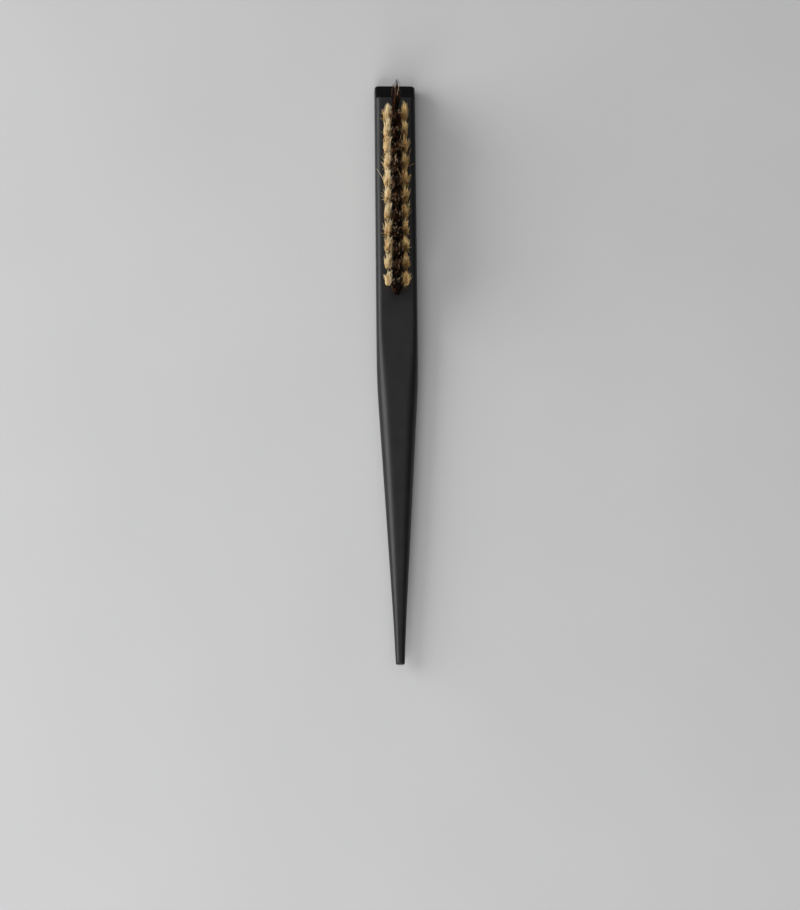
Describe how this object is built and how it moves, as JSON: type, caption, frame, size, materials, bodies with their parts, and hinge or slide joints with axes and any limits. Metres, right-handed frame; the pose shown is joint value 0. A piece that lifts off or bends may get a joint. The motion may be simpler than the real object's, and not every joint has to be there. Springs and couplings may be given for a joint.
{
  "type": "tail handle dressing brush",
  "caption": "Narrow hair dressing brush: a slim black moulded bar with rows of short blonde and longer dark bristle tufts on one face and a tapered tail handle for sectioning hair.",
  "frame": {"origin": "under the middle of the brush, on the plane that the head's flat back rests on", "axes": "+Y along the handle towards the nose of the head, +X across the head's width, +Z out of the bristle face"},
  "size_m": [0.0158, 0.23, 0.026],
  "materials": {
    "handle_plastic": "satin",
    "blonde_bristle": "matte",
    "dark_bristle": "satin",
    "anchor_metal": "satin"
  },
  "bodies": {
    "root": {"handle_body": "handle_plastic", "left_tuft_01": "blonde_bristle", "left_tuft_02": "blonde_bristle", "left_tuft_03": "blonde_bristle", "left_tuft_04": "blonde_bristle", "left_tuft_05": "blonde_bristle", "left_tuft_06": "blonde_bristle", "left_tuft_07": "blonde_bristle", "left_tuft_08": "blonde_bristle", "left_tuft_09": "blonde_bristle", "left_tuft_10": "blonde_bristle", "left_tuft_11": "blonde_bristle", "centre_tuft_01": "dark_bristle", "centre_tuft_02": "dark_bristle", "centre_tuft_03": "dark_bristle", "centre_tuft_04": "dark_bristle", "centre_tuft_05": "dark_bristle", "centre_tuft_06": "dark_bristle", "centre_tuft_07": "dark_bristle", "centre_tuft_08": "dark_bristle", "centre_tuft_09": "dark_bristle", "centre_tuft_10": "dark_bristle", "centre_tuft_11": "dark_bristle", "centre_tuft_12": "dark_bristle", "right_tuft_01": "blonde_bristle", "right_tuft_02": "blonde_bristle", "right_tuft_03": "blonde_bristle", "right_tuft_04": "blonde_bristle", "right_tuft_05": "blonde_bristle", "right_tuft_06": "blonde_bristle", "right_tuft_07": "blonde_bristle", "right_tuft_08": "blonde_bristle", "right_tuft_09": "blonde_bristle", "right_tuft_10": "blonde_bristle", "right_tuft_11": "blonde_bristle", "left_anchor_01": "anchor_metal", "left_anchor_02": "anchor_metal", "left_anchor_03": "anchor_metal", "left_anchor_04": "anchor_metal", "left_anchor_05": "anchor_metal", "left_anchor_06": "anchor_metal", "left_anchor_07": "anchor_metal", "left_anchor_08": "anchor_metal", "left_anchor_09": "anchor_metal", "left_anchor_10": "anchor_metal", "left_anchor_11": "anchor_metal", "right_anchor_01": "anchor_metal", "right_anchor_02": "anchor_metal", "right_anchor_03": "anchor_metal", "right_anchor_04": "anchor_metal", "right_anchor_05": "anchor_metal", "right_anchor_06": "anchor_metal", "right_anchor_07": "anchor_metal", "right_anchor_08": "anchor_metal", "right_anchor_09": "anchor_metal", "right_anchor_10": "anchor_metal", "right_anchor_11": "anchor_metal"}
  },
  "joints": []
}
